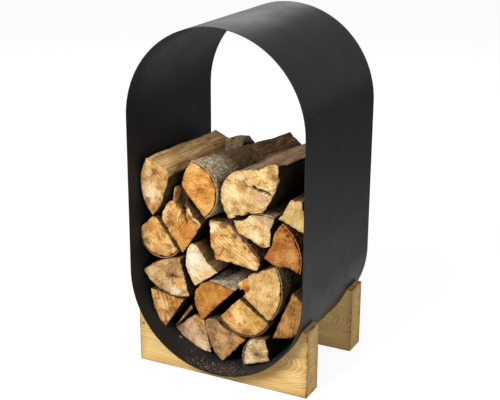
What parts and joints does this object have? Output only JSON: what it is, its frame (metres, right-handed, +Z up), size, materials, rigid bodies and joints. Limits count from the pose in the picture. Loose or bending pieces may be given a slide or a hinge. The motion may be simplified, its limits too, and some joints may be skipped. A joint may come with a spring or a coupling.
{
  "type": "firewood log rack",
  "caption": "Upright stadium-shaped hoop of black sheet steel, open front and back, lying in two timber cradles, loaded with split firewood logs.",
  "frame": {"origin": "centre of the footprint at floor level, under the two cradles", "axes": "+Z up, -Y towards the open front that is loaded and seen in the picture, +X to the right"},
  "size_m": [0.5, 0.45, 0.9479],
  "materials": {
    "powder_coat": "fine matt black powder coat",
    "cradle_timber": "sawn softwood, flamed and oiled",
    "screw_steel": "zinc plated",
    "log_pale": "fresh split, pale",
    "log_tan": "split, dried",
    "log_amber": "split, orange heartwood",
    "log_grey": "split, weathered",
    "bark_grey": "rough bark with lichen",
    "bark_brown": "rough brown bark"
  },
  "bodies": {
    "rack": {"hoop": "powder_coat", "hoop_weld": "powder_coat", "front_cradle": "cradle_timber", "rear_cradle": "cradle_timber", "front_cradle_screws": "screw_steel", "rear_cradle_screws": "screw_steel", "log_floor_centre": "log_grey", "log_floor_right": "log_pale", "log_floor_right_bark": "bark_brown", "log_floor_left": "log_grey", "log_floor_far_left": "log_tan", "log_floor_far_right": "log_amber", "kindling_stick": "log_tan", "log_second_centre": "log_tan", "log_second_centre_bark": "bark_brown", "log_second_left": "log_amber", "log_second_left_bark": "bark_grey", "log_second_far_left": "log_grey", "log_second_right": "log_pale", "log_second_right_bark": "bark_brown", "log_third_left": "log_pale", "log_third_right": "log_amber", "log_third_right_bark": "bark_brown", "log_third_centre": "log_tan", "log_third_centre_bark": "bark_brown", "log_third_far_left": "log_tan", "log_third_far_left_bark": "bark_brown", "log_fourth_left": "log_amber", "log_fourth_centre": "log_pale", "log_fourth_centre_bark": "bark_grey", "log_fourth_right": "log_pale", "rear_offcut": "log_grey", "log_top_centre": "log_amber", "log_top_centre_bark": "bark_grey"},
    "left_log": {"log_top_left": "log_tan"},
    "right_log": {"log_top_right": "log_pale", "log_top_back": "log_grey"}
  },
  "joints": [
    {"name": "left_log_draw", "type": "slide", "parent": "rack", "child": "left_log", "axis": [-0.045, -0.9988, 0.018], "range_m": [0, 0.42]},
    {"name": "right_log_draw", "type": "slide", "parent": "rack", "child": "right_log", "axis": [-0.1273, -0.9901, 0.0594], "range_m": [0, 0.42]}
  ]
}
